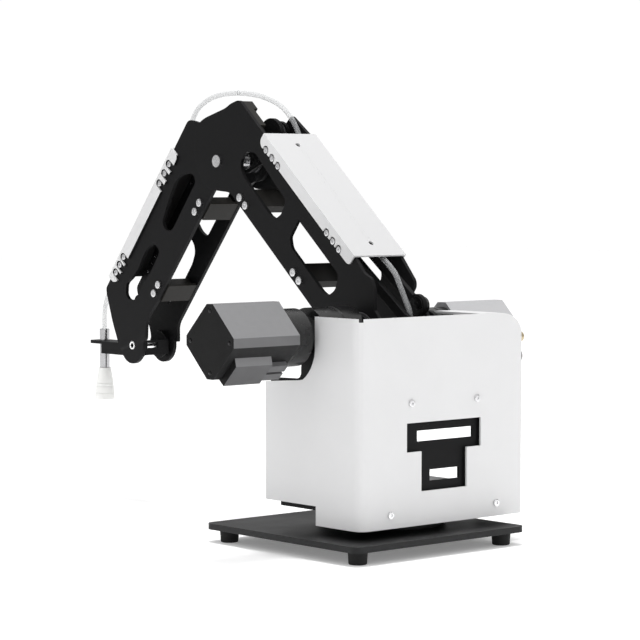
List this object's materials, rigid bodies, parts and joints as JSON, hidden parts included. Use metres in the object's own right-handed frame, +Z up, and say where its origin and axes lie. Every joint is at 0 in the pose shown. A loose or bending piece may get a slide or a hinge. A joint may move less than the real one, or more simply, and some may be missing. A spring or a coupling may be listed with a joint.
{
  "type": "desktop robot arm",
  "caption": "Desktop robot arm: turning base tower, two-link plate arm with levelling rods and a suction tool, driven by side-mounted stepper motors.",
  "frame": {"origin": "centre of the four base bolt holes, on the floor plane under the feet", "axes": "+X is the arm's forward reach, +Y towards the shoulder motor's side, +Z up"},
  "size_m": [0.4472, 0.2861, 0.3406],
  "materials": {
    "black_metal": "satin",
    "rubber": "matte",
    "steel": "satin",
    "chrome": "polished",
    "grey_metal": "satin",
    "motor_grey": "satin",
    "cover_white": "satin",
    "bronze_metal": "satin",
    "brass": "satin",
    "plug_grey": "matte",
    "socket_black": "matte",
    "board_green": "matte",
    "silicone_white": "matte",
    "hose_clear": "gloss"
  },
  "bodies": {
    "base": {"base_plate": "black_metal", "base_feet": "rubber", "turntable_lower_ring": "black_metal", "base_spigot": "steel"},
    "turret": {"turret_floor": "black_metal", "turntable_upper_ring": "black_metal", "base_gearbox": "black_metal", "base_motor": "motor_grey", "upright_left": "black_metal", "upright_right": "black_metal", "rear_panel": "black_metal", "side_plates": "black_metal", "turret_cover": "cover_white", "cover_screws": "steel", "rod_anchor": "black_metal", "shoulder_gearbox": "black_metal", "shoulder_motor": "motor_grey", "motor_plugs": "plug_grey", "forearm_gearbox": "black_metal", "forearm_motor": "motor_grey", "control_board": "board_green", "vacuum_pump": "motor_grey", "air_fitting": "brass", "power_socket": "socket_black", "hose_shoulder": "hose_clear"},
    "upper_arm": {"arm_plate_left": "black_metal", "arm_plate_right": "black_metal", "arm_braces": "bronze_metal", "arm_screws": "steel", "arm_cover": "cover_white", "shoulder_shaft": "grey_metal", "shoulder_bush": "grey_metal", "elbow_axle": "steel", "hose_upper": "hose_clear", "hose_elbow_rear": "hose_clear"},
    "crank": {"crank": "grey_metal"},
    "crank_bush": {"crank_pin_bush": "steel"},
    "drive_rod": {"drive_rod": "black_metal"},
    "rear_rod": {"rear_level_rod": "black_metal"},
    "elbow_link": {"elbow_triangle": "black_metal", "triangle_pins": "steel", "hose_elbow_front": "hose_clear"},
    "forearm": {"forearm_plate_left": "black_metal", "forearm_plate_right": "black_metal", "forearm_braces": "bronze_metal", "forearm_screws": "steel", "forearm_lever": "black_metal", "lever_spacer": "grey_metal", "forearm_cover": "cover_white", "elbow_bushes": "grey_metal", "wrist_axle": "steel", "hose_forearm": "hose_clear", "hose_wrist": "hose_clear"},
    "front_rod": {"front_level_rod": "black_metal"},
    "wrist": {"tool_bracket": "black_metal", "level_pin": "steel", "tool_stem": "chrome", "suction_cup": "silicone_white", "hose_fitting": "steel"}
  },
  "joints": [
    {"name": "base_yaw", "type": "hinge", "parent": "base", "child": "turret", "pos_m": [0, -0.0196, 0.0345], "axis": [0, 0, 1], "range_deg": [-135, 135]},
    {"name": "shoulder", "type": "hinge", "parent": "turret", "child": "upper_arm", "pos_m": [0, -0.0196, 0.156], "axis": [0, 1, 0], "range_deg": [-52.5, 15], "deforming": ["hose_shoulder"]},
    {"name": "crank_drive", "type": "hinge", "parent": "turret", "child": "crank", "pos_m": [0, -0.0496, 0.156], "axis": [0, 1, 0], "range_deg": [-25, 15]},
    {"name": "crank_bush_turn", "type": "hinge", "parent": "crank", "child": "crank_bush", "pos_m": [-0.02451, -0.0303, 0.17657], "axis": [0, 1, 0], "range_deg": [-15, 25]},
    {"name": "drive_rod_pivot", "type": "hinge", "parent": "crank_bush", "child": "drive_rod", "pos_m": [-0.02451, -0.0303, 0.17657], "axis": [0, 1, 0], "range_deg": [-52.5, 15]},
    {"name": "rear_rod_pivot", "type": "hinge", "parent": "turret", "child": "rear_rod", "pos_m": [-0.027, -0.0206, 0.163], "axis": [0, 1, 0], "range_deg": [-52.5, 15]},
    {"name": "elbow_link_pivot", "type": "hinge", "parent": "upper_arm", "child": "elbow_link", "pos_m": [0.167, -0.026, 0.28414], "axis": [0, 1, 0], "range_deg": [-15, 52.5], "deforming": ["hose_elbow_rear"]},
    {"name": "elbow", "type": "hinge", "parent": "elbow_link", "child": "forearm", "pos_m": [0.167, -0.0196, 0.28414], "axis": [0, 1, 0], "range_deg": [-25, 15], "deforming": ["hose_elbow_front"]},
    {"name": "front_rod_pivot", "type": "hinge", "parent": "elbow_link", "child": "front_rod", "pos_m": [0.165, -0.0128, 0.32014], "axis": [0, 1, 0], "range_deg": [-25, 15]},
    {"name": "wrist", "type": "hinge", "parent": "forearm", "child": "wrist", "pos_m": [0.28972, -0.0196, 0.1326], "axis": [0, 1, 0], "range_deg": [-15, 25], "deforming": ["hose_wrist"]}
  ],
  "couplings": [
    {"joint": "crank_bush_turn", "follows": "crank_drive", "ratio": -1},
    {"joint": "drive_rod_pivot", "follows": "shoulder", "ratio": 1},
    {"joint": "rear_rod_pivot", "follows": "shoulder", "ratio": 1},
    {"joint": "elbow_link_pivot", "follows": "shoulder", "ratio": -1},
    {"joint": "elbow", "follows": "crank_drive", "ratio": 1},
    {"joint": "front_rod_pivot", "follows": "crank_drive", "ratio": 1},
    {"joint": "wrist", "follows": "crank_drive", "ratio": -1}
  ]
}
